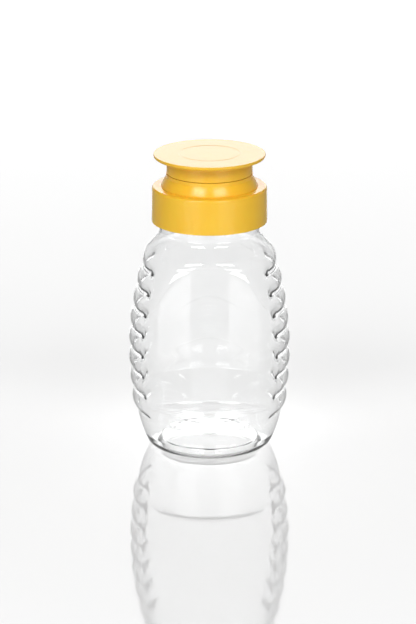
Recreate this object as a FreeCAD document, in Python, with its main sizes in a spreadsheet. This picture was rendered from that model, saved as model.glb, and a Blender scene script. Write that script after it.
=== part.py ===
# Squeeze honey dispenser: a clear beehive-shaped bottle with a threaded neck, closed by a yellow screw
# collar that carries a slit valve, under a disc-topped cover on which the filled bottle stands upside down.
# Millimetres, +Z up along the bottle's axis, origin at the centre of the standing ring.
# The label panels face -Y and +Y, and the ribbed flanks face -X and +X.
import FreeCAD, Part
import math
import os
import re

import Sketcher

doc = FreeCAD.newDocument("HoneyDispenser")
sheet = doc.addObject("Spreadsheet::Sheet", "Sizes")

SIZES = {
    # bottle wall and base
    "wall": 0.7,
    "base_wall": 1.2,
    "stand_radius": 24.6,
    "stand_width": 0.9,
    "heel_radius": 6.2,
    "heel_sweep": 70,
    "lower_wall_bow": 0.6,
    "push_up_radius": 22.4,
    "push_up_step": 2.8,
    "push_up_height": 5.25,
    "push_up_bow": 0.4,
    "gate_ring_radius": 6.6,
    "gate_ring_drop": 0.3,
    "gate_radius": 3.5,
    "gate_drop": 0.85,
    # ribbed barrel: creases lie on one long arc, and a round bulge spans each pair of creases
    "rib_foot": 18.9,
    "rib_pitch": 10.05,
    "rib_count": 7,
    "rib_bow": 1.9,
    "crease_wall": 0.85,
    "lowest_crease_radius": 34.7,
    "barrel_radius": 36.9,
    "barrel_middle": 48.3,
    "barrel_curve": 148,
    # shoulder and neck
    "shoulder_rise": 9.3,
    "shoulder_radius": 29.2,
    "shoulder_bow": 1.55,
    "shoulder_slope": 40,
    "cone_rise": 5.75,
    "neck_flare": 0.7,
    "flare_rise": 1.7,
    "neck_radius": 23.8,
    "neck_wall": 1.6,
    "neck_height": 18.9,
    "lip_round": 0.4,
    "mouth_clearance": 1,
    # label panels, front and back, and the plain frames that close the creases beside them;
    # the front panel stands on a shelf, and the back one leads out to the wall along a steep slope
    "panel_curve": 58,
    "panel_distance": 31.6,
    "panel_rise": 11.6,
    "front_ledge_slope": 40,
    "back_ledge_slope": 80.5,
    "back_ledge_rise": 29,
    "ledge_width": 3.5,
    "ledge_drop": 5.9,
    "ledge_bow": 0.45,
    "ledge_reach": 0.55,
    "panel_margin": 3,
    "panel_clearance": 12,
    "frame_stand": 0.15,
    "frame_inset": 6.35,
    "frame_shift": 13,
    "frame_crest": 0.55,
    "frame_foot_drop": 7.4,
    "frame_foot_inset": 1.7,
    "frame_foot_bow": 0.3,
    "frame_knee_drop": 0.9,
    "frame_knee_stand": 0.4,
    "frame_knee_bow": 0.35,
    "frame_top_drop": 3.35,
    "frame_top_overhang": 2,
    "frame_top_bow": 0.25,
    # neck thread and its mate in the collar
    "thread_pitch": 4.233,
    "thread_depth": 1.2,
    "thread_root": 2.3,
    "thread_crest": 1.1,
    "thread_turns": 1.25,
    "thread_drop": 3.3,
    "thread_sink": 0.4,
    "lug_root": 2,
    "lug_crest": 1,
    "lug_turns": 1,
    "lug_clearance": 0.35,
    "bore_clearance": 0.3,
    "flank_gap": 0.3,
    # sealing ring between mouth and collar
    "seal_gap": 0.27,
    "seal_thickness": 1,
    "seal_overhang": 1.7,
    "seal_clearance": 0.3,
    # screw collar
    "skirt_wall": 2.15,
    "skirt_height": 17,
    "skirt_draft": 0.15,
    "skirt_foot_edge": 0.5,
    "skirt_top_edge": 1.1,
    "cap_wall": 1.6,
    "bell_radius": 22.9,
    "bell_straight": 0.4,
    "bell_height": 6.35,
    "bell_neck": 1.7,
    "bell_top_radius": 20.6,
    "bell_bow": 0.15,
    "boss_radius": 18.4,
    "boss_height": 3,
    "boss_wall": 1.5,
    "boss_edge": 0.6,
    "bead": 0.2,
    "bead_width": 0.8,
    "bead_rise": 1.8,
    # valve seat inside the boss
    "outlet_radius": 7.6,
    "outlet_edge": 0.5,
    "holder_bore": 11.1,
    "holder_wall": 1.3,
    "holder_depth": 4.2,
    "snap_depth": 0.4,
    "snap_width": 1.2,
    # slit valve
    "valve_gap": 0.25,
    "valve_flange": 10.8,
    "flange_thickness": 1.2,
    "valve_neck_radius": 7,
    "valve_neck_wall": 0.8,
    "valve_edge": 0.3,
    "valve_rise": 1.1,
    "membrane": 0.8,
    "flap_side": 7,
    "slit": 0.12,
    "flap_relief": 26,
    # retainer that holds the valve's flange
    "retainer_bore_radius": 7.8,
    "retainer_thickness": 1.5,
    "retainer_clearance": 0.15,
    "retainer_bead": 0.3,
    "retainer_edge": 0.4,
    # cover, whose disc is also the foot that the upturned bottle stands on
    "cover_gap": 0.3,
    "cover_wall": 1.5,
    "cover_radius": 20.4,
    "cover_height": 9.1,
    "cover_bead_rise": 0.7,
    "disc_radius": 26.6,
    "disc_thickness": 1.8,
    "rim_height": 0.75,
    "rim_inset": 0.95,
    "rim_bow": 0.22,
    "rim_edge": 0.3,
    "waist_flare": 0.9,
    "stop_ring_radius": 14.9,
    "stop_ring_wall": 1.2,
    "sink_depth": 0.08,
    "sink_width": 0.7,
}
for row, (word, number) in enumerate(SIZES.items(), start=1):
    sheet.set(f"A{row}", word)
    sheet.set(f"B{row}", str(number))
    sheet.setAlias(f"B{row}", word)
doc.recompute()

# Heights and radii that follow from the sizes, as formulas
TOP_CREASE = "rib_foot + rib_count * rib_pitch"
SHOULDER = f"{TOP_CREASE} + shoulder_rise"
CONE_TOP = f"{SHOULDER} + cone_rise"
NECK_FOOT = f"{CONE_TOP} + flare_rise"
MOUTH = f"{NECK_FOOT} + neck_height"
NECK_BORE = "neck_radius - neck_wall"
PANEL_FOOT = "rib_foot + panel_rise"
BACK_PANEL_FOOT = f"{PANEL_FOOT} + back_ledge_rise"
THREAD_RADIUS = "neck_radius + thread_depth"
THREAD_HEIGHT = "thread_turns * thread_pitch"
THREAD_START = f"{MOUTH} - thread_drop - {THREAD_HEIGHT}"
SEAL_FOOT = f"{MOUTH} + seal_gap"
CEILING = f"{SEAL_FOOT} + seal_thickness + seal_gap"
COLLAR_BORE = f"{THREAD_RADIUS} + bore_clearance"
COLLAR_RADIUS = f"{COLLAR_BORE} + skirt_wall"
COLLAR_TOP = f"{CEILING} + cap_wall"
COLLAR_FOOT = f"{COLLAR_TOP} - skirt_height"
LUG_CREST = "neck_radius + lug_clearance"
LUG_START = f"{THREAD_START} - (thread_root + lug_crest) / 2 - flank_gap"
DECK = f"{COLLAR_TOP} + bell_height"
BOSS_TOP = f"{DECK} + boss_height"
SEAT = f"{BOSS_TOP} - cap_wall"
HOLDER_FOOT = f"{SEAT} - holder_depth"
FLANGE_TOP = f"{SEAT} - valve_gap"
FLANGE_FOOT = f"{FLANGE_TOP} - flange_thickness"
MEMBRANE_TOP = f"{FLANGE_TOP} + valve_rise"
MEMBRANE_FOOT = f"{MEMBRANE_TOP} - membrane"
RETAINER_TOP = f"{FLANGE_FOOT} - valve_gap"
RETAINER_FOOT = f"{RETAINER_TOP} - retainer_thickness"
RETAINER_MIDDLE = f"{RETAINER_TOP} - retainer_thickness / 2"
RETAINER_RADIUS = "holder_bore - retainer_clearance"
COVER_FOOT = f"{DECK} + cover_gap"
COVER_TOP = f"{COVER_FOOT} + cover_height"
COVER_CEILING = f"{COVER_TOP} - disc_thickness"
COVER_BORE = "cover_radius - cover_wall"
QUARTER_BOW = "(1 - sqrt(0.5))"


def formula(words):
    """Turn the size words in a formula into references to the sheet."""
    return re.sub(r"[a-z_]+", lambda word: "Sizes." + word[0] if word[0] in SIZES else word[0], str(words))


def value(words):
    """The present value of a formula, in millimetres or degrees."""
    return float(sheet.evalExpression(formula(words)))


def origin_plane(body, role):
    """One of a body's own origin planes, found by its role."""
    return next(plane for plane in body.Origin.OriginFeatures if plane.Role == role)


def pin(sketch, edge, end, across, up):
    """Hold one end of an edge at two formulas, measured from the sketch's origin."""
    for kind, axis, words in (("DistanceX", -2, across), ("DistanceY", -1, up)):
        if str(words) == "0":
            sketch.addConstraint(Sketcher.Constraint("PointOnObject", edge, end, axis))
            continue
        index = sketch.addConstraint(Sketcher.Constraint(kind, -1, 1, edge, end, value(words)))
        sketch.setExpression(f"Constraints[{index}]", formula(words))


def arc_through(start, finish, bow):
    """An arc that bulges by bow to the right of its chord, and whether it runs from start to finish."""
    chord = finish - start
    radius = chord.Length ** 2 / (8 * abs(bow)) + abs(bow) / 2
    side = FreeCAD.Vector(chord.y, -chord.x, 0).normalize() * math.copysign(1, bow)
    centre = (start + finish) / 2 + side * (abs(bow) - radius)
    forward = bow > 0
    ends = (start, finish) if forward else (finish, start)
    angles = [math.atan2(point.y - centre.y, point.x - centre.x) for point in ends]
    if angles[1] < angles[0]:
        angles[1] += 2 * math.pi
    return Part.ArcOfCircle(Part.Circle(centre, FreeCAD.Vector(0, 0, 1), radius), *angles), forward


def outline(owner, name, corners, bows=None, plane="XZ_Plane", lift=None):
    """Closed sketch through corners given as formulas (across, up), anticlockwise.

    bows[i] is the height of the arc that replaces the edge after corner i: positive bulges outwards.
    """
    bows = bows or {}
    if owner is doc:
        sketch = doc.addObject("Sketcher::SketchObject", name)
        sketch.Placement.Rotation = FreeCAD.Rotation(FreeCAD.Vector(1, 0, 0), 90)
    else:
        sketch = owner.newObject("Sketcher::SketchObject", name)
        sketch.AttachmentSupport = [(origin_plane(owner, plane), "")]
        sketch.MapMode = "FlatFace"
        if lift:
            sketch.setExpression("AttachmentOffset.Base.z", formula(lift))
    points = [FreeCAD.Vector(value(across), value(up), 0) for across, up in corners]
    ends = []
    for index, point in enumerate(points):
        following = (index + 1) % len(points)
        if index not in bows:
            sketch.addGeometry(Part.LineSegment(point, points[following]), False)
            ends.append((1, 2))
            continue
        arc, forward = arc_through(point, points[following], value(bows[index]))
        sketch.addGeometry(arc, False)
        ends.append((1, 2) if forward else (2, 1))
        (x0, y0), (x1, y1) = corners[index], corners[following]
        chord = f"((({x1}) - ({x0}))^2 + (({y1}) - ({y0}))^2)"
        bow = f"abs({bows[index]})"
        radius = sketch.addConstraint(Sketcher.Constraint("Radius", index, arc.Radius))
        sketch.setExpression(f"Constraints[{radius}]", formula(f"{chord} / (8 * {bow}) + {bow} / 2"))
    for index in range(len(points)):
        previous = index - 1 if index else len(points) - 1
        joint = Sketcher.Constraint("Coincident", previous, ends[previous][1], index, ends[index][0])
        sketch.addConstraint(joint)
        pin(sketch, index, ends[index][0], *corners[index])
    return sketch


def turned(name, corners, bows=None, shift=None):
    """Loose solid of revolution about the bottle's axis, or about one moved along Y by shift."""
    sketch = outline(doc, name + "_outline", corners, bows)
    solid = doc.addObject("Part::Revolution", name)
    solid.Source = sketch
    solid.Axis = FreeCAD.Vector(0, 0, 1)
    solid.Angle = 360
    solid.Solid = True
    if shift:
        sketch.setExpression("Placement.Base.y", formula(shift))
        solid.setExpression("Base.y", formula(shift))
    return solid


def combined(kind, name, *shapes):
    """Boolean of loose solids: Cut takes the second from the first, Fuse and Common take any number."""
    if kind == "Cut":
        result = doc.addObject("Part::Cut", name)
        result.Base, result.Tool = shapes
        return result
    result = doc.addObject("Part::Multi" + kind, name)
    result.Shapes = list(shapes)
    return result


def new_body(name):
    """PartDesign body whose label is the piece's name."""
    return doc.addObject("PartDesign::Body", name)


def revolved(body, name, corners, bows=None):
    """Full turn of an outline about a body's axis."""
    sketch = outline(body, name + "_outline", corners, bows)
    feature = body.newObject("PartDesign::Revolution", name)
    feature.Profile = sketch
    feature.ReferenceAxis = (sketch, ["V_Axis"])
    feature.Angle = 360
    return feature


def thread(body, name, start, root, crest, turns):
    """Right-handed ridge around a body's axis: root and crest are (radius, width) formulas."""
    corners = [
        (root[0], f"{start} - ({root[1]}) / 2"),
        (crest[0], f"{start} - ({crest[1]}) / 2"),
        (crest[0], f"{start} + ({crest[1]}) / 2"),
        (root[0], f"{start} + ({root[1]}) / 2"),
    ]
    sketch = outline(body, name + "_section", corners)
    ridge = body.newObject("PartDesign::AdditiveHelix", name)
    ridge.Profile = sketch
    ridge.ReferenceAxis = (sketch, ["V_Axis"])
    ridge.Mode = "pitch-height-angle"
    ridge.setExpression("Pitch", formula("thread_pitch"))
    ridge.setExpression("Height", formula(f"{turns} * thread_pitch"))
    return ridge


def crease_radius(height):
    """Radius of the long barrel arc at a height."""
    return f"(barrel_radius - barrel_curve + sqrt(barrel_curve^2 - ({height} - barrel_middle)^2))"


def crease(index):
    """Corner of the barrel's outline at a crease, counted from the lowest one."""
    height = f"(rib_foot + {index} * rib_pitch)"
    return ("lowest_crease_radius" if index == 0 else crease_radius(height)), height


def barrel(name, inset, crease_inset, floor, foot, throat, bows):
    """Solid with the ribbed outline, from the base's corners, foot, to the neck's, throat."""
    heel_arc = f"(heel_radius - ({inset}))"
    heel_end = (
        f"stand_radius + {heel_arc} * sin(heel_sweep)",
        f"{floor} + {heel_arc} * (1 - cos(heel_sweep))",
    )
    creases = [crease(index) for index in range(round(value("rib_count")) + 1)]
    lowest = (f"{creases[0][0]} - ({inset})", creases[0][1])
    upper = [(f"{radius} - ({crease_inset})", height) for radius, height in creases[1:]]
    shoulder = (
        f"shoulder_radius - ({inset}) * cos(shoulder_slope)",
        f"{SHOULDER} - ({inset}) * sin(shoulder_slope)",
    )
    corners = foot + [("stand_radius", floor), heel_end, lowest] + upper + [shoulder] + throat
    heel = len(foot)
    bulge = f"rib_bow + ({crease_inset}) - ({inset})"
    bows = dict(bows)
    bows[heel] = f"{heel_arc} * (1 - cos(heel_sweep / 2))"
    bows[heel + 1] = "lower_wall_bow"
    bows.update({heel + 2 + index: bulge for index in range(len(upper))})
    bows[heel + 2 + len(upper)] = "shoulder_bow"
    return turned(name, corners, bows)


def frame_solid(name, inset, shift=None):
    """Smooth barrel that stands just proud of the bulges, to fill the creases beside the panels."""
    low = "(rib_foot + frame_crest * rib_pitch)"
    high = f"({TOP_CREASE} - (1 - frame_crest) * rib_pitch)"
    stand = f"rib_bow + frame_stand - ({inset})"
    second_crease = crease_radius("(rib_foot + rib_pitch)")
    foot = "rib_foot - frame_foot_drop"
    top = f"{SHOULDER} - frame_top_drop"
    corners = [
        ("0", foot),
        (f"lowest_crease_radius - frame_foot_inset - ({inset})", foot),
        (f"lowest_crease_radius + frame_knee_stand - ({inset})", "rib_foot - frame_knee_drop"),
        (f"(lowest_crease_radius + {second_crease}) / 2 + {stand}", low),
        (f"{crease_radius(high)} + {stand}", high),
        (f"shoulder_radius + frame_top_overhang - ({inset})", top),
        ("0", top),
    ]
    bows = {
        1: "-frame_foot_bow",
        2: "frame_knee_bow",
        3: f"({high} - {low})^2 / (8 * (barrel_curve + rib_bow))",
        4: "frame_top_bow",
    }
    return turned(name, corners, bows, shift)


def panel_cutter(name, side, foot, slope, inset):
    """What one label panel takes off the barrel: all beyond its gently curved face, above its ledge."""
    sink = f"({inset}) * sin({slope})"
    drop = f"({inset}) * cos({slope})"
    near = f"panel_distance - panel_margin - {sink}"
    edge = f"panel_distance + ledge_width - {sink}"
    floor = f"{PANEL_FOOT} - ledge_drop"
    corners = [
        (near, f"{foot} + panel_margin * tan({slope}) - {drop}"),
        (edge, f"{foot} - ledge_width * tan({slope}) - {drop}"),
        (f"barrel_radius + ledge_reach - ({inset})", floor),
        ("barrel_radius + panel_clearance", floor),
        ("barrel_radius + panel_clearance", SHOULDER),
        (near, SHOULDER),
    ]
    ledge = turned(f"{name}_ledge", corners, {1: "-ledge_bow"})
    face = doc.addObject("Part::Cylinder", f"{name}_face")
    face.setExpression("Radius", formula(f"panel_curve - ({inset})"))
    face.setExpression("Height", formula(MOUTH))
    face.setExpression("Placement.Base.y", formula(f"-{side} * (panel_curve - panel_distance)"))
    return combined("Cut", name, ledge, face)


def bottle_form(name, inset, crease_inset, floor, foot, throat, bows):
    """The bottle's outside, or with an inset its hollow: ribbed barrel, plain frames and label panels."""
    parts = [barrel(f"{name}_barrel", inset, crease_inset, floor, foot, throat, bows)]
    frame = frame_solid(f"{name}_frame", inset)
    cutters = []
    for word, side, panel_foot in (("front", -1, PANEL_FOOT), ("back", 1, BACK_PANEL_FOOT)):
        limit = frame_solid(f"{name}_limit_{word}", f"{inset} + frame_inset", f"{side} * frame_shift")
        parts.append(combined("Common", f"{name}_frame_{word}", frame, limit))
        slope = f"{word}_ledge_slope"
        cutters.append(panel_cutter(f"{name}_cutter_{word}", side, panel_foot, slope, inset))
    whole = combined("Fuse", f"{name}_whole", *parts)
    return combined("Cut", name, whole, combined("Fuse", f"{name}_cutters", *cutters))


# Bottle: blown in one piece, the hollow following the outside
GATE_FOOT = "push_up_height - gate_drop"
RING_FOOT = "push_up_height - gate_ring_drop"
outside = bottle_form(
    "bottle_outside",
    "0",
    "0",
    "0",
    [
        ("0", GATE_FOOT),
        ("gate_radius", GATE_FOOT),
        ("gate_radius", RING_FOOT),
        ("gate_ring_radius", RING_FOOT),
        ("gate_ring_radius", "push_up_height"),
        ("push_up_radius", "push_up_step"),
        ("stand_radius - stand_width", "0"),
    ],
    [
        ("neck_radius + neck_flare", CONE_TOP),
        ("neck_radius", NECK_FOOT),
        ("neck_radius", f"{MOUTH} - lip_round"),
        ("neck_radius - lip_round", MOUTH),
        ("0", MOUTH),
    ],
    {4: "-push_up_bow"},
)
hollow = bottle_form(
    "bottle_hollow",
    "wall",
    "crease_wall",
    "base_wall",
    [
        ("0", "push_up_height + base_wall"),
        ("gate_ring_radius", "push_up_height + base_wall"),
        ("push_up_radius + wall", "push_up_step + base_wall"),
    ],
    [
        (NECK_BORE, NECK_FOOT),
        (NECK_BORE, f"{MOUTH} + mouth_clearance"),
        ("0", f"{MOUTH} + mouth_clearance"),
    ],
    {1: "-push_up_bow"},
)
blown = combined("Cut", "bottle_blown", outside, hollow)
doc.recompute()

bottle = new_body("bottle")
bottle.BaseFeature = blown
thread(
    bottle,
    "neck_thread",
    THREAD_START,
    ("neck_radius - thread_sink", "thread_root"),
    (THREAD_RADIUS, "thread_crest"),
    "thread_turns",
)
doc.recompute()

# Sealing ring, loose between the bottle's mouth and the collar's ceiling
neck_seal = new_body("neck_seal")
SEAL_TOP = f"{SEAL_FOOT} + seal_thickness"
SEAL_BORE = f"{NECK_BORE} - seal_overhang"
SEAL_RADIUS = f"{COLLAR_BORE} - seal_clearance"
revolved(
    neck_seal,
    "seal_ring",
    [(SEAL_BORE, SEAL_FOOT), (SEAL_RADIUS, SEAL_FOOT), (SEAL_RADIUS, SEAL_TOP), (SEAL_BORE, SEAL_TOP)],
)

# Screw collar: plain skirt, flat shoulder, bell, and the boss that the cover snaps over
screw_collar = new_body("screw_collar")
BOSS_BORE = "boss_radius - boss_wall"
BEAD = f"({DECK} + bead_rise)"
HOLDER_RADIUS = "holder_bore + holder_wall"
SNAP_BORE = "holder_bore + snap_depth"
revolved(
    screw_collar,
    "collar_shell",
    [
        (f"{COLLAR_BORE} + skirt_foot_edge", COLLAR_FOOT),
        (COLLAR_RADIUS, COLLAR_FOOT),
        (f"{COLLAR_RADIUS} - skirt_draft", f"{COLLAR_TOP} - skirt_top_edge"),
        (f"{COLLAR_RADIUS} - skirt_draft - skirt_top_edge", COLLAR_TOP),
        ("bell_radius", COLLAR_TOP),
        ("bell_radius", f"{COLLAR_TOP} + bell_straight"),
        ("bell_top_radius", f"{DECK} - bell_neck"),
        ("bell_top_radius", DECK),
        ("boss_radius", DECK),
        ("boss_radius", f"{BEAD} - bead_width / 2"),
        ("boss_radius", f"{BEAD} + bead_width / 2"),
        ("boss_radius", f"{BOSS_TOP} - boss_edge"),
        ("boss_radius - boss_edge", BOSS_TOP),
        ("outlet_radius + outlet_edge", BOSS_TOP),
        ("outlet_radius", f"{BOSS_TOP} - outlet_edge"),
        ("outlet_radius", SEAT),
        ("holder_bore", SEAT),
        ("holder_bore", f"{RETAINER_MIDDLE} + snap_width / 2"),
        (SNAP_BORE, f"{RETAINER_MIDDLE} + snap_width / 4"),
        (SNAP_BORE, f"{RETAINER_MIDDLE} - snap_width / 4"),
        ("holder_bore", f"{RETAINER_MIDDLE} - snap_width / 2"),
        ("holder_bore", HOLDER_FOOT),
        (HOLDER_RADIUS, HOLDER_FOOT),
        (HOLDER_RADIUS, SEAT),
        (BOSS_BORE, SEAT),
        (BOSS_BORE, f"{DECK} - cap_wall"),
        ("bell_top_radius - cap_wall", f"{DECK} - cap_wall"),
        ("bell_top_radius - cap_wall", f"{DECK} - bell_neck - cap_wall / 2"),
        ("bell_radius - cap_wall", f"{COLLAR_TOP} + bell_straight - cap_wall / 2"),
        ("bell_radius - cap_wall", CEILING),
        (COLLAR_BORE, CEILING),
        (COLLAR_BORE, f"{COLLAR_FOOT} + skirt_foot_edge"),
    ],
    {
        2: f"skirt_top_edge * {QUARTER_BOW}",
        5: "bell_bow",
        9: "bead",
        11: f"boss_edge * {QUARTER_BOW}",
        13: f"outlet_edge * {QUARTER_BOW}",
        27: "-bell_bow",
    },
)
thread(
    screw_collar,
    "collar_lug",
    LUG_START,
    (f"{COLLAR_BORE} + thread_sink", "lug_root"),
    (LUG_CREST, "lug_crest"),
    "lug_turns",
)

# Slit valve: silicone flange, short neck and a flat membrane whose cross slit leaves four flaps
valve_body = new_body("valve_body")
VALVE_BORE = "valve_neck_radius - valve_neck_wall"
revolved(
    valve_body,
    "valve_shell",
    [
        (VALVE_BORE, FLANGE_FOOT),
        ("valve_flange", FLANGE_FOOT),
        ("valve_flange", FLANGE_TOP),
        ("valve_neck_radius", FLANGE_TOP),
        ("valve_neck_radius", f"{MEMBRANE_TOP} - valve_edge"),
        ("valve_neck_radius - valve_edge", MEMBRANE_TOP),
        ("0", MEMBRANE_TOP),
        ("0", MEMBRANE_FOOT),
        (VALVE_BORE, MEMBRANE_FOOT),
    ],
    {4: f"valve_edge * {QUARTER_BOW}"},
)
RELIEF = "membrane * tan(flap_relief)"


def square(half):
    """Corners of a square about the axis, anticlockwise."""
    return [(f"-({half})", f"-({half})"), (half, f"-({half})"), (half, half), (f"-({half})", half)]


def lofted(body, kind, name, lower, upper, lower_height, upper_height):
    """Straight-sided feature between two flat outlines."""
    base = outline(body, name + "_lower", lower, plane="XY_Plane", lift=lower_height)
    top = outline(body, name + "_upper", upper, plane="XY_Plane", lift=upper_height)
    feature = body.newObject("PartDesign::" + kind, name)
    feature.Profile = base
    feature.Sections = [(top, [""])]
    feature.Ruled = True
    return feature


lofted(
    valve_body,
    "SubtractiveLoft",
    "flap_opening",
    square("flap_side / 2"),
    square(f"flap_side / 2 + {RELIEF}"),
    MEMBRANE_FOOT,
    MEMBRANE_TOP,
)


def flap_outline(root):
    """Triangle between two slits, its root at -Y by the given distance and its tip at the axis."""
    side_gap = "slit / 2 * sqrt(2)"
    return [
        ("0", f"-({side_gap})"),
        (f"-({root} - {side_gap})", f"-({root})"),
        (f"{root} - {side_gap}", f"-({root})"),
    ]


flaps = []
for index, word in enumerate(("front", "right", "back", "left")):
    flap = new_body(f"valve_flap_{word}")
    lofted(
        flap,
        "AdditiveLoft",
        f"flap_{word}",
        flap_outline("flap_side / 2 - slit"),
        flap_outline(f"flap_side / 2 - slit - {RELIEF}"),
        MEMBRANE_FOOT,
        MEMBRANE_TOP,
    )
    flap.Placement.Rotation = FreeCAD.Rotation(FreeCAD.Vector(0, 0, 1), index * 90)
    flaps.append(flap)

# Retainer that snaps into the holder under the valve's flange
valve_retainer = new_body("valve_retainer")
revolved(
    valve_retainer,
    "retainer_ring",
    [
        ("retainer_bore_radius", RETAINER_FOOT),
        (f"{RETAINER_RADIUS} - retainer_edge", RETAINER_FOOT),
        (RETAINER_RADIUS, f"{RETAINER_MIDDLE} - bead_width / 2"),
        (RETAINER_RADIUS, f"{RETAINER_MIDDLE} + bead_width / 2"),
        (f"{RETAINER_RADIUS} - retainer_edge", RETAINER_TOP),
        ("retainer_bore_radius", RETAINER_TOP),
    ],
    {2: "retainer_bead"},
)

# Cover: waist that snaps over the boss, and the wide disc that the upturned bottle stands on
cover = new_body("cover")
COVER_BEAD = f"({COVER_FOOT} + cover_bead_rise)"
STOP_RING_FOOT = f"{BOSS_TOP} + cover_gap"
RIM = f"{COVER_TOP} - rim_height"
SINK_MIDDLE = "(stop_ring_radius - stop_ring_wall / 2)"
revolved(
    cover,
    "cover_shell",
    [
        (f"{COVER_BORE} + rim_edge", COVER_FOOT),
        ("cover_radius", COVER_FOOT),
        ("cover_radius", f"{COVER_CEILING} - waist_flare"),
        ("cover_radius + waist_flare", COVER_CEILING),
        ("disc_radius - rim_inset", COVER_CEILING),
        ("disc_radius", RIM),
        ("disc_radius", f"{COVER_TOP} - rim_edge"),
        ("disc_radius - rim_edge", COVER_TOP),
        (f"{SINK_MIDDLE} + sink_width / 2", COVER_TOP),
        (f"{SINK_MIDDLE} - sink_width / 2", COVER_TOP),
        ("0", COVER_TOP),
        ("0", COVER_CEILING),
        ("stop_ring_radius - stop_ring_wall", COVER_CEILING),
        ("stop_ring_radius - stop_ring_wall", STOP_RING_FOOT),
        ("stop_ring_radius", STOP_RING_FOOT),
        ("stop_ring_radius", COVER_CEILING),
        (COVER_BORE, COVER_CEILING),
        (COVER_BORE, f"{COVER_BEAD} + bead_width / 2"),
        (COVER_BORE, f"{COVER_BEAD} - bead_width / 2"),
        (COVER_BORE, f"{COVER_FOOT} + rim_edge"),
    ],
    {
        2: f"-waist_flare * {QUARTER_BOW}",
        4: "rim_bow",
        6: f"rim_edge * {QUARTER_BOW}",
        8: "-sink_depth",
        17: "bead",
    },
)
doc.recompute()

pieces = [bottle, neck_seal, screw_collar, valve_body, *flaps, valve_retainer, cover]
failed = [item.Name for item in doc.Objects if {"Invalid", "Error"} & set(item.State)]
assert not failed, f"failed features: {failed}"
os.makedirs("parts", exist_ok=True)
for piece in pieces:
    shape = piece.Shape
    assert not shape.isNull() and shape.isValid(), piece.Label
    print(f"{piece.Label:18} {len(shape.Solids)} solid {shape.Volume:10.1f} mm3  {shape.BoundBox}")
for piece in pieces:
    piece.Shape.exportStep(f"parts/{piece.Label}.step")
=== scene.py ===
# %% [markdown]
# # A clear honey bottle under a yellow cap
# This lesson dresses a squeeze honey dispenser. The bottle is blown from clear plastic, ribbed at its
# flanks and smooth at its two label panels. A yellow collar screws onto its neck and holds a soft slit
# valve, and a yellow cover with a wide disc snaps over the valve, so that the bottle can stand on it.
# The pieces come from a CAD model at real size, in metres, with +Z up. We keep their places and sizes,
# and give them finishes, a better bottle wall, a floor, lights and a camera.

import math

import bpy
import numpy as np
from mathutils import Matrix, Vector


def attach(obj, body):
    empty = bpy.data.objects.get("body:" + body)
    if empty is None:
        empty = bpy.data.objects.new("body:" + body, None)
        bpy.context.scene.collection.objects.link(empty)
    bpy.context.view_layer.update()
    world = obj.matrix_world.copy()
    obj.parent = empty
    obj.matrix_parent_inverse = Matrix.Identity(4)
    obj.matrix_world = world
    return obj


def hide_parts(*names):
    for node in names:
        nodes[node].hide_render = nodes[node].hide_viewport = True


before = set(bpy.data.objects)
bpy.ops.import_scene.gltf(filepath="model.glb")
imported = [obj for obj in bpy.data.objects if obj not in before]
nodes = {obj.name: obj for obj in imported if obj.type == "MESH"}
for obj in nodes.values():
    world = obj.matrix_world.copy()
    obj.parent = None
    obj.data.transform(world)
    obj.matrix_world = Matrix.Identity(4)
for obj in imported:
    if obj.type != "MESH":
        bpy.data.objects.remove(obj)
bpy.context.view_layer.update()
print("CAD pieces:", ", ".join(sorted(nodes)))


# %% [markdown]
# ## Shader arithmetic in plain Python
# A material is a graph of nodes, and most of its work is small sums on values that vary over the
# surface. Each sum could be a Math node that is added by hand, or a node group. Here a small class wraps
# a socket, so that an expression such as 0.3 + 0.1 * noise adds its own Math nodes. Any other node comes
# from one method, node(), which takes its type, its settings and what goes into its sockets.

# %% A socket that can be used in sums
class Socket:
    """An output socket of a node graph; sums and products with it add Math nodes."""

    def __init__(self, graph, socket):
        self.graph = graph
        self.socket = socket

    def math(self, operation, other):
        return self.graph.node("Math", {"operation": operation}, {0: self, 1: other})

    def __add__(self, other):
        return self.math("ADD", other)

    def __mul__(self, other):
        return self.math("MULTIPLY", other)

    __radd__ = __add__
    __rmul__ = __mul__


# %% A graph that makes any node
class Graph:
    """The node tree of a material or world."""

    def __init__(self, owner):
        owner.use_nodes = True
        self.tree = owner.node_tree

    def node(self, kind, settings=None, values=None, output=0):
        """Add a node: settings are set first, then each socket gets its value or link."""
        made = self.tree.nodes.new("ShaderNode" + kind)
        for name, setting in (settings or {}).items():
            if name == "stops":
                self.set_stops(made.color_ramp, setting)
            else:
                setattr(made, name, setting)
        self.feed(made, values or {})
        return Socket(self, made.outputs[output])

    def feed(self, node, values):
        """Link or set the sockets of a node, by name or number."""
        for name, wanted in values.items():
            if isinstance(wanted, Socket):
                self.tree.links.new(wanted.socket, node.inputs[name])
            else:
                node.inputs[name].default_value = wanted

    def set_stops(self, ramp, stops):
        """Give a colour ramp its (place, colour) stops."""
        while len(ramp.elements) < len(stops):
            ramp.elements.new(1)
        for element, (place, colour) in zip(ramp.elements, stops):
            element.position = place
            element.color = colour

    def mixed(self, first, second, share, blend="MIX"):
        """Two colours mixed, or blended in another way, by a share that may vary."""
        settings = {"data_type": "RGBA", "blend_type": blend}
        return self.node("Mix", settings, {0: share, 6: first, 7: second}, output=2)


# %% [markdown]
# ## The finish of moulded plastic
# Every piece here is moulded, so each finish starts from the Principled shader and adds what a mould
# leaves: a faint waviness, fine grain, and a gloss that isn't the same everywhere. The noise is measured
# in the piece's own coordinates, in metres, so its scale is real and it stays put when a piece moves.

# %% Start a plastic finish
def plastic(name, **values):
    """A material whose Principled shader has these values, its graph and its place on the surface."""
    material = bpy.data.materials.new(name)
    graph = Graph(material)
    shader = graph.tree.nodes["Principled BSDF"]
    graph.feed(shader, {word.replace("_", " "): value for word, value in values.items()})
    place = graph.node("TexCoord", output="Object")
    return material, graph, shader, place


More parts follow.
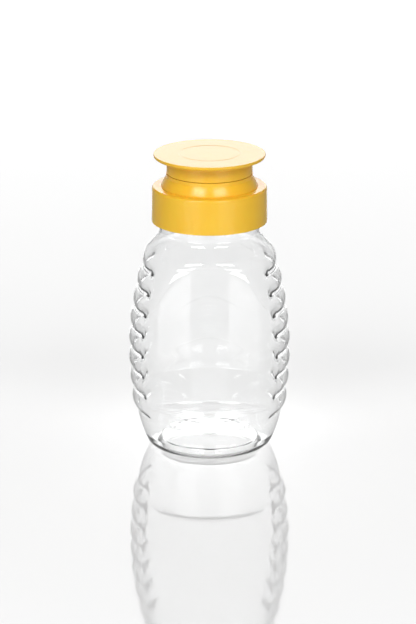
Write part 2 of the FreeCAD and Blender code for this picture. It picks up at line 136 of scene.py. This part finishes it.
def noise(graph, place, size, detail=2.0, stretch=(1.0, 1.0, 1.0)):
    """Soft noise from 0 to 1 whose blobs are about size metres across, longer where stretch is above 1."""
    scale = [1 / (size * factor) for factor in stretch]
    spread = graph.node("VectorMath", {"operation": "MULTIPLY"}, {0: place, 1: scale})
    return graph.node("TexNoise", values={"Vector": spread, "Scale": 1.0, "Detail": detail})


def bump(graph, height, distance):
    """A normal for a surface whose height is a value from 0 to 1, times a distance in metres."""
    return graph.node("Bump", values={"Distance": distance, "Height": height})


# %% [markdown]
# ## Yellow caps
# Collar and cover are moulded from yellow polypropylene with a satin gloss. A flat yellow would look like
# paper, so light also sinks a little way into the plastic and comes out again, which warms the shaded
# sides. Faint upright draw marks from the mould vary the gloss, as on the real skirt.

# %% Yellow plastic
YELLOW_TONES = (0.94, 0.533, 0.032, 1), (0.97, 0.588, 0.045, 1)


def yellow_plastic():
    material, graph, shader, place = plastic(
        "yellow_plastic", IOR=1.5, Subsurface_Weight=0.2, Subsurface_Scale=0.002
    )
    flow = noise(graph, place, size=0.012, detail=3.0)
    draw_marks = noise(graph, place, size=0.0012, stretch=(1, 1, 30))
    grain = noise(graph, place, size=0.00045)
    graph.feed(
        shader,
        {
            "Base Color": graph.mixed(*YELLOW_TONES, share=flow),
            "Roughness": 0.17 + 0.05 * draw_marks + 0.05 * flow,
            "Normal": bump(graph, grain + 0.8 * draw_marks, distance=0.00001),
        },
    )
    return material


# %% [markdown]
# ## Clear bottle plastic
# The bottle is blown from clear polyester. It could be faked with alpha, but then its ribs wouldn't bend
# the light, so the wall is a real one with an inside and an outside, and the shader transmits and
# refracts. Light that only casts a shadow passes straight through, because a clear wall throws almost none.

# %% Clear plastic
CLEAR_TONES = (0.985, 0.99, 0.99, 1), (1, 1, 1, 1)
SHADOW_TONE = (0.96, 0.96, 0.96, 1)


def clear_plastic():
    material, graph, shader, place = plastic("clear_plastic", IOR=1.57, Transmission_Weight=1.0)
    waves = noise(graph, place, size=0.014, detail=1.0)
    haze = noise(graph, place, size=0.004)
    graph.feed(
        shader,
        {
            "Base Color": graph.mixed(*CLEAR_TONES, share=waves),
            "Roughness": 0.005 + 0.02 * haze,
            "Normal": bump(graph, waves, distance=0.00006),
        },
    )
    shadow_ray = graph.node("LightPath", output="Is Shadow Ray")
    passing = graph.node("BsdfTransparent", values={"Color": SHADOW_TONE})
    wall = Socket(graph, shader.outputs[0])
    shared = graph.node("MixShader", values={0: shadow_ray, 1: wall, 2: passing})
    graph.feed(graph.tree.nodes["Material Output"], {"Surface": shared})
    return material


# %% [markdown]
# ## Valve, liner and retainer
# The valve is milky silicone, the ring under the collar is a foamed liner with fine closed cells, and the
# retainer is natural white plastic. They are small and hidden until the cap comes off, but each still
# needs the finish of its stuff: silicone scatters light, foam is pitted, plain plastic is smooth.

# %% Silicone
SILICONE_TONES = (0.84, 0.85, 0.84, 1), (0.93, 0.93, 0.91, 1)


def silicone():
    material, graph, shader, place = plastic(
        "silicone", IOR=1.41, Subsurface_Weight=0.6, Subsurface_Scale=0.001, Transmission_Weight=0.25
    )
    cloud = noise(graph, place, size=0.003, detail=3.0)
    graph.feed(
        shader,
        {
            "Base Color": graph.mixed(*SILICONE_TONES, share=cloud),
            "Roughness": 0.35 + 0.15 * cloud,
            "Normal": bump(graph, cloud, distance=0.00003),
        },
    )
    return material


# %% Foam
FOAM_TONES = (0.86, 0.86, 0.83, 1), (0.94, 0.94, 0.92, 1)
CELLS_PER_METRE = 3200.0


def foam():
    material, graph, shader, place = plastic(
        "foam", IOR=1.45, Subsurface_Weight=0.3, Subsurface_Scale=0.0006
    )
    cells = graph.node("TexVoronoi", values={"Vector": place, "Scale": CELLS_PER_METRE})
    cloud = noise(graph, place, size=0.004)
    graph.feed(
        shader,
        {
            "Base Color": graph.mixed(*FOAM_TONES, share=cloud),
            "Roughness": 0.6 + 0.2 * cells,
            "Normal": bump(graph, cells, distance=0.00006),
        },
    )
    return material


# %% White plastic
WHITE_TONES = (0.87, 0.87, 0.85, 1), (0.93, 0.93, 0.92, 1)


def white_plastic():
    material, graph, shader, place = plastic(
        "white_plastic", IOR=1.49, Subsurface_Weight=0.25, Subsurface_Scale=0.0015
    )
    grain = noise(graph, place, size=0.0006)
    cloud = noise(graph, place, size=0.006)
    graph.feed(
        shader,
        {
            "Base Color": graph.mixed(*WHITE_TONES, share=cloud),
            "Roughness": 0.32 + 0.12 * grain,
            "Normal": bump(graph, grain, distance=0.00001),
        },
    )
    return material


# %% [markdown]
# ## The blown wall: arcs and profiles
# A bottle is blown: a hot tube of plastic is pushed out against a cold mould, so its wall has no sharp
# edge anywhere, and the inside follows the outside. It could be carved with booleans and bevels, but a
# clear wall shows every uneven facet. So the wall is worked out as one height field: for each height and
# direction, how far the wall is from the axis. We start from the upright profile, made of arcs.

# %% Arcs and profiles, in millimetres
ARC_POINTS = 24


def arc(start, end, bow):
    """Points from start to end, as (radius, height), on an arc that bulges outwards by bow."""
    start, end = np.array(start, float), np.array(end, float)
    chord = end - start
    share = np.linspace(0, 1, ARC_POINTS)[:, None]
    if not bow:
        return start + share * chord
    length = math.hypot(*chord)
    side = np.array([chord[1], -chord[0]]) / length
    radius = length**2 / (8 * abs(bow)) + abs(bow) / 2
    along = (share - 0.5) * length
    rise = np.sqrt(radius**2 - along**2) - (radius - abs(bow))
    return start + share * chord + math.copysign(1, bow) * rise * side


def profile(corners, bows):
    """Points along corners, with an arc after each corner whose number has a bow."""
    pairs = zip(corners, corners[1:])
    return np.concatenate([arc(a, b, bows.get(index, 0)) for index, (a, b) in enumerate(pairs)])


# %% Rounded corners
BELL_REACH = 4
PROFILE_STEP = 0.15
SAME_POINT = 1e-6


def blurred(values, width):
    """Values smoothed along the first axis by a bell curve whose width is in samples."""
    reach = int(BELL_REACH * width) + 1
    weights = np.exp(-0.5 * (np.arange(-reach, reach + 1) / width) ** 2)
    padding = [(reach, reach)] + [(0, 0)] * (values.ndim - 1)
    padded = np.pad(values, padding, mode="edge")
    total = sum(weight * padded[i : i + len(values)] for i, weight in enumerate(weights))
    return total / weights.sum()


def softened(points, width=0.12):
    """A profile with evenly spaced points and rounded corners; its ends stay where they are."""
    gaps = np.hypot(*np.diff(points, axis=0).T)
    points = points[np.concatenate([[True], gaps > SAME_POINT])]
    along = np.concatenate([[0], np.cumsum(np.hypot(*np.diff(points, axis=0).T))])
    even = np.linspace(0, along[-1], round(along[-1] / PROFILE_STEP) + 1)
    spread = np.stack([np.interp(even, along, column) for column in points.T], axis=1)
    rounded = blurred(spread, width / PROFILE_STEP)
    rounded[[0, -1]] = spread[[0, -1]]
    return rounded


# %% [markdown]
# ## The barrel
# Seven round bulges are stacked like the coils of a straw beehive. Their creases lie on one long arc.
# Beside the label panels a plain wall, the frame, fills the creases, so that they fade out. Both are
# profiles, and each gives a radius at any height.

# %% Heights and radii of the bottle
STAND_RADIUS = 24.6
HEEL_RADIUS, HEEL_SWEEP = 6.2, math.radians(70)
HEEL_END = (
    STAND_RADIUS + HEEL_RADIUS * math.sin(HEEL_SWEEP),
    HEEL_RADIUS * (1 - math.cos(HEEL_SWEEP)),
)
RIB_FOOT, RIB_PITCH, RIB_COUNT, RIB_BOW = 18.9, 10.05, 7, 1.9
CREASES = [RIB_FOOT + index * RIB_PITCH for index in range(RIB_COUNT + 1)]
LOWEST_CREASE_RADIUS = 34.7
BARREL_RADIUS, BARREL_MIDDLE, BARREL_CURVE = 36.9, 48.3, 148.0
SHOULDER = (29.2, CREASES[-1] + 9.3)
NECK_RADIUS = 23.8
NECK_BEND = (NECK_RADIUS + 0.7, SHOULDER[1] + 5.75)
NECK_FOOT = NECK_BEND[1] + 1.7
MOUTH = NECK_FOOT + 18.9
print(f"creases from {CREASES[0]:.2f} to {CREASES[-1]:.2f} mm high, mouth at {MOUTH:.2f} mm")


# %% The ribbed profile
FLANK_BOW, SHOULDER_BOW = 0.6, 1.55


def crease_radius(height):
    """Radius of the long arc that the creases lie on."""
    return BARREL_RADIUS - BARREL_CURVE + np.sqrt(BARREL_CURVE**2 - (height - BARREL_MIDDLE) ** 2)


ribbed = profile(
    [HEEL_END, (LOWEST_CREASE_RADIUS, RIB_FOOT)]
    + [(crease_radius(height), height) for height in CREASES[1:]]
    + [SHOULDER, NECK_BEND, (NECK_RADIUS, NECK_FOOT), (NECK_RADIUS, MOUTH)],
    dict(enumerate([FLANK_BOW] + RIB_COUNT * [RIB_BOW] + [SHOULDER_BOW])),
)
print(f"widest bulge {ribbed[:, 0].max():.2f} mm from the axis")

# %% The plain profile of the frame
FRAME_LOW = RIB_FOOT + 0.55 * RIB_PITCH
FRAME_HIGH = CREASES[-1] - 0.45 * RIB_PITCH
FRAME_BOW = (FRAME_HIGH - FRAME_LOW) ** 2 / (8 * (BARREL_CURVE + RIB_BOW))
plain = profile(
    [
        (LOWEST_CREASE_RADIUS - 1.7, RIB_FOOT - 7.4),
        (LOWEST_CREASE_RADIUS + 0.4, RIB_FOOT - 0.9),
        ((LOWEST_CREASE_RADIUS + crease_radius(CREASES[1])) / 2 + RIB_BOW, FRAME_LOW),
        (crease_radius(FRAME_HIGH) + RIB_BOW, FRAME_HIGH),
        (SHOULDER[0] + 2, SHOULDER[1] - 3.35),
    ],
    {0: -0.3, 1: 0.35, 2: FRAME_BOW, 3: 0.25},
)
print(f"frame from {plain[0, 1]:.2f} to {plain[-1, 1]:.2f} mm high")


# %% [markdown]
# ## Label panels and their shelves
# Front and back are sliced off by a gently curved face, and below it a shelf leads out again to the full
# wall. To join such surfaces with a rounded edge, a soft minimum takes the nearer of two radii and rounds
# the change between them. A soft maximum is the same, upside down. The front shelf is narrow and starts
# at a fairly crisp line. Such a line at the back would show through the clear wall, so the back panel
# leads out along a long steep slope instead, softly rounded, and over a straight cone.

# %% Soft minimum, maximum and step
def soft_min(first, second, width):
    """The smaller of two values, rounded where they differ by less than width."""
    overlap = np.maximum(width - np.abs(first - second), 0) / width
    return np.minimum(first, second) - overlap**2 * width / 4


def soft_max(first, second, width):
    return -soft_min(-first, -second, width)


def soft_step(value, low, high):
    """0 below low, 1 above high, and a smooth rise between."""
    share = np.clip((value - low) / (high - low), 0, 1)
    return share * share * (3 - 2 * share)


# %% The round wall, ribbed at the flanks
CREASE_FADE = math.radians(52), math.radians(64)
CREASE_ROUNDING, FINE_STEP = 0.08, 0.1


def from_panel(turn):
    """Angle between a direction and the middle of the nearer label panel."""
    return np.arccos(np.abs(np.sin(turn)))


def ribbed_share(turn):
    """1 where the wall is ribbed, 0 at and beside the panels, and a smooth change between."""
    return soft_step(from_panel(turn), *CREASE_FADE)


def round_wall(turn, height):
    """Radius of the wall before the panels are sliced off it."""
    fine = np.arange(HEEL_END[1], MOUTH, FINE_STEP)
    ribs = blurred(np.interp(fine, ribbed[:, 1], ribbed[:, 0]), CREASE_ROUNDING / FINE_STEP)
    filled = np.maximum(ribs, np.interp(fine, plain[:, 1], plain[:, 0], left=0, right=0))
    filled = blurred(filled, CREASE_ROUNDING / FINE_STEP)
    ribs, filled = (np.interp(height, fine, wall)[:, None] for wall in (ribs, filled))
    return filled + (ribs - filled) * ribbed_share(turn)


# %% A panel's face and the shelf below it
PANEL_CURVE, PANEL_DISTANCE = 58.0, 31.6
PANEL_FOOT = RIB_FOOT + 11.6
SHELF_WIDTH, SHELF_BOW = 3.5, 0.45
SHELF_END = (BARREL_RADIUS + 0.55, PANEL_FOOT - 5.9)
BEHIND_FACE = 3
FLARE = 3
BLUR_PER_ROUNDING = 0.6
FRONT_SHELF = {"foot": PANEL_FOOT, "slope": 40, "rounding": 0.3}
BACK_SHELF = {"foot": PANEL_FOOT + 29, "slope": 80.5, "rounding": 5.0}


def panel_face(turn):
    """Radius of the gently curved face, by direction."""
    offset = PANEL_CURVE - PANEL_DISTANCE
    away = from_panel(turn)
    return -offset * np.cos(away) + np.sqrt(PANEL_CURVE**2 - (offset * np.sin(away)) ** 2)


def shelf_radius(height, foot, slope, rounding):
    """Radius of a shelf from behind the face at a panel's foot out to the wall, as a column of heights.

    Below its end the shelf flares out, so that it leaves the wall there alone.
    """
    steepness = math.tan(math.radians(slope))
    points = profile(
        [
            SHELF_END,
            (PANEL_DISTANCE + SHELF_WIDTH, foot - SHELF_WIDTH * steepness),
            (PANEL_DISTANCE - BEHIND_FACE, foot + BEHIND_FACE * steepness),
        ],
        {0: SHELF_BOW},
    )
    below = np.maximum(SHELF_END[1] - height, 0)
    shelf = np.interp(height, points[:, 1], points[:, 0]) + FLARE * below
    return blurred(shelf, BLUR_PER_ROUNDING * rounding / (height[1] - height[0]))[:, None]


# %% The wall's distance from the axis
PANEL_LEAN, LEAN_FOOT = 1.1, PANEL_FOOT + 25
FRONT_ROUNDING, BACK_ROUNDING = 1.3, 2.6
CONE_RADII, CONE_HEIGHTS = (HEEL_END[0], 37.33), (HEEL_END[1], 26.0)
CONE_FADE = math.radians(35), math.radians(55)


def wall_radius(turn, height):
    """Radius of the outside at directions turn, from +X, and heights, as a grid of rows by directions."""
    outer, face = round_wall(turn, height), panel_face(turn)
    lean = PANEL_LEAN * soft_step(height, LEAN_FOOT, SHOULDER[1])[:, None]
    front, back = (
        soft_max(face, shelf_radius(height, **shelf), shelf["rounding"]) - lean
        for shelf in (FRONT_SHELF, BACK_SHELF)
    )
    cone = np.interp(height, CONE_HEIGHTS, CONE_RADII)[:, None]
    share = (height < CONE_HEIGHTS[1])[:, None] * (1 - soft_step(from_panel(turn), *CONE_FADE))
    outer_back = outer + (cone - outer) * share
    front = soft_min(outer, front, FRONT_ROUNDING)
    back = soft_min(outer_back, back, BACK_ROUNDING)
    return np.where(np.sin(turn) < 0, front, back)


# %% [markdown]
# ## One sheet from base to lip and back
# The wall is one closed sheet of quads: from the centre of the base out and up the outside, over the lip,
# and down the inside to the centre of the floor. The inside is the outside moved in along its normals by
# the wall's thickness. Plastic gathers at each crease, and that thicker line bends the light into the
# dark strokes of the photo. The neck's thread is a ridge that follows a helix and fades out at its ends.

# %% The neck's thread
FULL_TURN = 2 * math.pi
THREAD_PITCH, THREAD_TURNS = 4.233, 1.25
THREAD_FOOT = MOUTH - 3.3 - THREAD_TURNS * THREAD_PITCH
THREAD_DEPTH, THREAD_ROOT, THREAD_CREST = 1.2, 2.3, 1.1
THREAD_FADE = math.radians(20)


def thread_ridge(turn, height):
    """How far the thread stands out of the neck."""
    flank_width = (THREAD_ROOT - THREAD_CREST) / 2
    end = THREAD_TURNS * FULL_TURN
    ridge = np.zeros((len(height), len(turn)))
    for lap in range(math.ceil(THREAD_TURNS)):
        along = turn + lap * FULL_TURN
        middle = THREAD_FOOT + THREAD_PITCH * along / FULL_TURN
        flank = (THREAD_ROOT / 2 - np.abs(height[:, None] - middle)) / flank_width
        fade = soft_step(along, 0, THREAD_FADE) * (1 - soft_step(along, end - THREAD_FADE, end))
        ridge = np.maximum(ridge, np.clip(flank, 0, 1) * fade * THREAD_DEPTH)
    return ridge


# %% Thickness of the wall
WALL, NECK_WALL = 0.7, 1.6
THICKENING = NECK_FOOT + 5, MOUTH - 6
CREASE_EXTRA, CREASE_REACH = 0.32, 0.65


def wall_thickness(turn, height):
    """Thickness at directions and heights: more along the creases and towards the mouth."""
    even = WALL + (NECK_WALL - WALL) * soft_step(height, *THICKENING)
    near_crease = sum(np.exp(-(((height - crease) / CREASE_REACH) ** 2)) for crease in CREASES)
    return even[:, None] + CREASE_EXTRA * near_crease[:, None] * ribbed_share(turn)


# %% Profiles of base, floor and lip
POLE_RADIUS = 0.3
DISC_RADIUS, DISC_HEIGHT = 3.5, 4.4
STEP_RADIUS, STEP_HEIGHT = 6.6, 4.95
DOME_RADIUS, DOME_HEIGHT, DOME_BOW = 22.4, 5.25, -0.4
INNER_HEIGHT, INNER_ROUNDING = 6.45, 0.5
LIP_OUTSIDE, LIP_INSIDE = 0.4, 0.2


def heel_bow(radius):
    """How far the heel's arc of this radius bulges from its chord."""
    return radius * (1 - math.cos(HEEL_SWEEP / 2))


base = softened(
    profile(
        [
            (POLE_RADIUS, DISC_HEIGHT),
            (DISC_RADIUS, DISC_HEIGHT),
            (DISC_RADIUS, STEP_HEIGHT),
            (STEP_RADIUS, STEP_HEIGHT),
            (STEP_RADIUS, DOME_HEIGHT),
            (DOME_RADIUS, 2.8),
            (STAND_RADIUS - 0.9, 0),
            (STAND_RADIUS, 0),
            HEEL_END,
        ],
        {4: DOME_BOW, 7: heel_bow(HEEL_RADIUS)},
    )
)
inner_floor = softened(
    profile(
        [
            (POLE_RADIUS, INNER_HEIGHT),
            (STEP_RADIUS, INNER_HEIGHT),
            (DOME_RADIUS + WALL, 4.0),
            (STAND_RADIUS, 1.2),
            (HEEL_END[0] - 0.66, 4.82),
        ],
        {1: DOME_BOW, 3: heel_bow(HEEL_RADIUS - WALL)},
    ),
    width=INNER_ROUNDING,
)
lip = softened(
    profile(
        [
            (NECK_RADIUS, MOUTH - LIP_OUTSIDE),
            (NECK_RADIUS - LIP_OUTSIDE, MOUTH),
            (NECK_RADIUS - NECK_WALL + LIP_INSIDE, MOUTH),
            (NECK_RADIUS - NECK_WALL, MOUTH - LIP_INSIDE),
        ],
        {0: 0.12, 2: 0.05},
    )
)
print(f"points on the base {len(base)}, the floor {len(inner_floor)} and the lip {len(lip)}")


# %% Rows of points
def round_rows(points, turn):
    """Rows of a round surface through profile points."""
    circle = np.stack([np.cos(turn), np.sin(turn)], axis=1)
    return [np.column_stack([radius * circle, np.full(len(turn), height)]) for radius, height in points]


def grid_points(radius, turn, height):
    """Points of a grid of radii."""
    heights = np.broadcast_to(height[:, None], radius.shape)
    return np.stack([radius * np.cos(turn), radius * np.sin(turn), heights], axis=2)


def outward(points):
    """Normals of a grid of points that goes round the axis."""
    around = np.roll(points, -1, axis=1) - np.roll(points, 1, axis=1)
    normal = np.cross(around, np.gradient(points, axis=0))
    return normal / np.linalg.norm(normal, axis=2, keepdims=True)


# %% A mesh through rows of points
MILLIMETRE = 0.001


def add_object(name, data):
    """A new object with this data, in the scene."""
    made = bpy.data.objects.new(name, data)
    bpy.context.scene.collection.objects.link(made)
    return made


def sheet_mesh(name, rows):
    """A closed mesh through rows of points, all going round the same way, with a pole at each end."""
    first_pole, last_pole = rows[0].mean(axis=0), rows[-1].mean(axis=0)
    points = np.concatenate([[first_pole], *rows, [last_pole]]) * MILLIMETRE
    index = 1 + np.arange(len(rows) * len(rows[0])).reshape(len(rows), -1)
    following = np.roll(index, -1, axis=1)
    quads = np.stack([index[:-1], following[:-1], following[1:], index[1:]], axis=2).reshape(-1, 4)
    last = len(points) - 1
    faces = quads.tolist()
    faces += [[0, b, a] for a, b in zip(index[0].tolist(), following[0].tolist())]
    faces += [[a, b, last] for a, b in zip(index[-1].tolist(), following[-1].tolist())]
    mesh = bpy.data.meshes.new(name)
    mesh.from_pydata(points.tolist(), [], faces)
    mesh.shade_smooth()
    return add_object(name, mesh)


# %% Build the bottle
COLUMNS, ROW_STEP = 448, 0.36
INSIDE_FOOT = HEEL_END[1] + 2.2


def blown_bottle():
    turn = np.linspace(0, FULL_TURN, COLUMNS, endpoint=False)
    height = np.arange(HEEL_END[1] + ROW_STEP, MOUTH - LIP_OUTSIDE, ROW_STEP)
    radius = wall_radius(turn, height)
    outside = grid_points(radius + thread_ridge(turn, height), turn, height)
    smooth = grid_points(radius, turn, height)
    inside = smooth - outward(smooth) * wall_thickness(turn, height)[:, :, None]
    inside = inside[height > INSIDE_FOOT]
    rows = round_rows(base, turn) + list(outside) + round_rows(lip, turn)
    rows += list(inside[::-1]) + round_rows(inner_floor[::-1], turn)
    return sheet_mesh("blown_bottle", rows)


bottle = blown_bottle()
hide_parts("bottle")
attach(bottle, "bottle")
print(f"bottle wall: {len(bottle.data.vertices)} points, {len(bottle.data.polygons)} faces")


# %% [markdown]
# ## Dress the CAD pieces
# The collar, cover, valve, liner and retainer already have the right shape, so they stay as they are and
# only change their material.

# %% Give each piece its finish
def dress(piece, material):
    """Give a piece one material."""
    piece.data.materials.clear()
    piece.data.materials.append(material)


FINISHES = {
    yellow_plastic: ["screw_collar", "cover"],
    silicone: ["valve_body"] + [f"valve_flap_{side}" for side in ("front", "right", "back", "left")],
    foam: ["neck_seal"],
    white_plastic: ["valve_retainer"],
}
for make_finish, names in FINISHES.items():
    finish = make_finish()
    for name in names:
        dress(nodes[name], finish)
    print(finish.name, "on", ", ".join(names))
dress(bottle, clear_plastic())


# %% [markdown]
# ## A glossy white floor
# The bottle stands on a white gloss sheet that mirrors it faintly. A plane with a low roughness is
# enough, and its strength as a mirror comes from its index of refraction. It is lit by the boxes in front
# and shows the bright wall behind.

# %% The floor
FLOOR_SIZE = (0.9, 4.0)
FLOOR_TONES = (0.735, 0.735, 0.735, 1), (0.755, 0.755, 0.755, 1)


def floor_finish():
    material, graph, shader, place = plastic("white_gloss_floor", IOR=1.5)
    cloud = noise(graph, place, size=0.3)
    graph.feed(
        shader,
        {
            "Base Color": graph.mixed(*FLOOR_TONES, share=cloud),
            "Roughness": 0.05 + 0.02 * cloud,
        },
    )
    return material


bpy.ops.mesh.primitive_plane_add(size=1, location=(0, FLOOR_SIZE[1] / 4, 0))
floor = bpy.context.object
floor.scale = (*FLOOR_SIZE, 1)
floor.name = "floor"
dress(floor, floor_finish())
print(f"floor: {FLOOR_SIZE[0]} by {FLOOR_SIZE[1]} m")


# %% [markdown]
# ## Soft studio light
# Clear plastic is shown by what it reflects. Two soft boxes in front make the paired highlights on neck,
# shoulder and shelf, and a bright wall behind whitens the disc, which mirrors it. Two low strips light
# the floor close to the bottle, and the label panel and the neck show them as wide upright bands. The
# sky is dimmer at the sides and darkest to the far left and right, which draws the bottle's edges.

# %% Face the object
TARGET = Vector((-0.00072, 0, 0.06524))


def face_target(thing, azimuth, elevation, distance):
    """Put a lamp or camera at angles in degrees, from the front, and turn it to the target."""
    turn, rise = math.radians(azimuth), math.radians(elevation)
    away = Vector((math.sin(turn) * math.cos(rise), -math.cos(turn) * math.cos(rise), math.sin(rise)))
    thing.location = TARGET + away * distance
    thing.rotation_euler = away.to_track_quat("Z", "Y").to_euler()


# %% Lights
WATTS_PER_RADIANCE = 4
# Each box: azimuth and elevation in degrees, distance, width and height in metres, and radiance,
# which is measured against a white of 1
SOFT_BOXES = {
    "front_box_left": (-29.5, 41, 1.5, 0.68, 0.5, 6.5),
    "front_box_right": (29.5, 41, 1.5, 0.68, 0.5, 5.3),
    "low_strip_left": (-34, 2, 0.62, 0.35, 0.11, 2.6),
    "low_strip_right": (34, 2, 0.62, 0.35, 0.11, 2.3),
    "back_wall": (180, 14, 2.05, 1.4, 0.8, 2.0),
}
for name, (azimuth, elevation, distance, width, height, radiance) in SOFT_BOXES.items():
    light = bpy.data.lights.new(name, "AREA")
    light.shape = "RECTANGLE"
    light.size, light.size_y = width, height
    light.energy = radiance * WATTS_PER_RADIANCE * width * height
    face_target(add_object(name, light), azimuth, elevation, distance)
    print(f"{name}: {light.energy:.2f} W")


# %% The sky
UPRIGHT_STOPS = (0.0, 0.7), (0.35, 0.25), (1.0, 0.08)
SIDE_STOPS = (0.06, 1.0), (0.4, 0.6), (0.8, 0.5), (0.95, 0.24)
world = bpy.data.worlds.new("studio")
bpy.context.scene.world = world
sky = Graph(world)
direction = sky.node("TexCoord", output="Generated")


def along(axis):
    """How far a direction of the sky points along an axis, from -1 to 1."""
    return sky.node("VectorMath", {"operation": "DOT_PRODUCT"}, {0: direction, 1: axis}, output="Value")


def greys(stops, place):
    """A grey that follows (place, level) stops."""
    colours = [(stop, (level, level, level, 1)) for stop, level in stops]
    return sky.node("ValToRGB", {"stops": colours}, {0: place})


up, aside = along((0, 0, 1)), along((1, 0, 0))
glow = sky.mixed(greys(UPRIGHT_STOPS, up), greys(SIDE_STOPS, aside * aside), 1.0, blend="MULTIPLY")
sky.feed(sky.tree.nodes["Background"], {"Color": glow, "Strength": 1.0})
print(f"sky: {len(sky.tree.nodes)} nodes")


# %% [markdown]
# ## The camera
# The photo was taken from about two metres away and 17 degrees above the horizon with a long lens, found
# from the shapes of the rings on neck and cap. Light crosses up to four faces of clear wall on its way
# through the bottle, and more where it is thrown back inside, so it may bounce more often than usual.

# %% Camera
ELEVATION, DISTANCE, LENS = 17.1, 2.0, 241.3
BOUNCES = 32
camera_data = bpy.data.cameras.new("camera")
camera_data.lens = LENS
camera = add_object("camera", camera_data)
face_target(camera, 0, ELEVATION, DISTANCE)
bpy.context.scene.camera = camera
bpy.context.scene.view_settings.view_transform = "Standard"
bpy.context.scene.cycles.max_bounces = BOUNCES
bpy.context.scene.cycles.transmission_bounces = BOUNCES
print(f"camera: {DISTANCE} m away, {ELEVATION} degrees up, {LENS} mm lens")
